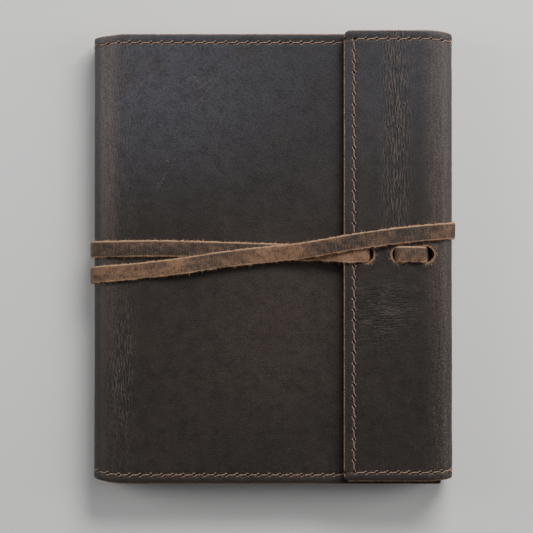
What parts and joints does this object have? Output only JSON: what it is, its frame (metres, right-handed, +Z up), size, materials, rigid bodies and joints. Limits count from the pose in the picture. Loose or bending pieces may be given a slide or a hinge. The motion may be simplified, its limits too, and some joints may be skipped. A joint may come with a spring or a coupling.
{
  "type": "leather notebook cover",
  "caption": "Full-grain leather wrap cover for a hard-cover notebook, with a fold-over flap and a flat lace strap woven through the flap and wrapped round the closed book.",
  "frame": {"origin": "centre of the bounding box, on the surface that the strap's back runs lie on", "axes": "+X from the spine to the fore edge, +Y from the tail to the head, +Z up through the thickness, front cover upwards"},
  "size_m": [0.2112, 0.2618, 0.0324],
  "materials": {
    "outer_leather": "waxed pull-up hide, matte, scuffed",
    "lining_leather": "napped flesh side",
    "strap_leather": "matte, raw edges",
    "thread": "waxed thread",
    "notebook_board": "cloth covered board",
    "paper": "uncoated"
  },
  "bodies": {
    "back": {"outer_back": "outer_leather", "lining_back": "lining_leather", "back_pocket": "lining_leather", "seam_back": "thread", "strap_back_runs": "strap_leather", "notebook_back_board": "notebook_board", "notebook_signature_1": "paper", "notebook_signature_2": "paper", "notebook_signature_3": "paper", "notebook_signature_4": "paper", "notebook_signature_5": "paper", "notebook_signature_6": "paper"},
    "spine": {"outer_spine": "outer_leather", "lining_spine": "lining_leather", "seam_spine": "thread", "notebook_spine_strip": "notebook_board"},
    "front": {"outer_front": "outer_leather", "lining_front": "lining_leather", "front_pocket": "lining_leather", "seam_front": "thread", "notebook_front_board": "notebook_board"},
    "fore_edge": {"outer_fore_edge": "outer_leather", "lining_fore_edge": "lining_leather", "seam_fore_edge": "thread"},
    "flap": {"outer_flap": "outer_leather", "lining_flap": "lining_leather", "seam_flap": "thread", "strap_anchor_weave": "strap_leather", "strap_under_run": "strap_leather", "strap_over_run": "strap_leather", "strap_spine_turns": "strap_leather", "strap_fore_edge_turn": "strap_leather"}
  },
  "joints": [
    {"name": "spine_fold", "type": "hinge", "parent": "back", "child": "spine", "pos_m": [-0.10028, 0, 0.00482], "axis": [0, -1, 0], "range_deg": [0, 90], "deforming": ["outer_spine", "lining_spine", "seam_spine"]},
    {"name": "front_fold", "type": "hinge", "parent": "spine", "child": "front", "pos_m": [-0.10028, 0, 0.02038], "axis": [0, -1, 0], "range_deg": [0, 90]},
    {"name": "fore_edge_fold", "type": "hinge", "parent": "back", "child": "fore_edge", "pos_m": [0.10121, 0, 0.00439], "axis": [0, 1, 0], "range_deg": [0, 90], "deforming": ["outer_fore_edge", "lining_fore_edge", "seam_fore_edge"]},
    {"name": "flap_fold", "type": "hinge", "parent": "fore_edge", "child": "flap", "pos_m": [0.10121, 0, 0.02591], "axis": [0, 1, 0], "range_deg": [0, 90], "deforming": ["outer_flap", "lining_flap", "seam_flap", "strap_anchor_weave", "strap_under_run", "strap_over_run", "strap_spine_turns", "strap_fore_edge_turn"]}
  ],
  "couplings": [
    {"joint": "front_fold", "follows": "spine_fold", "ratio": 1},
    {"joint": "fore_edge_fold", "follows": "spine_fold", "ratio": 1},
    {"joint": "flap_fold", "follows": "spine_fold", "ratio": 1}
  ]
}
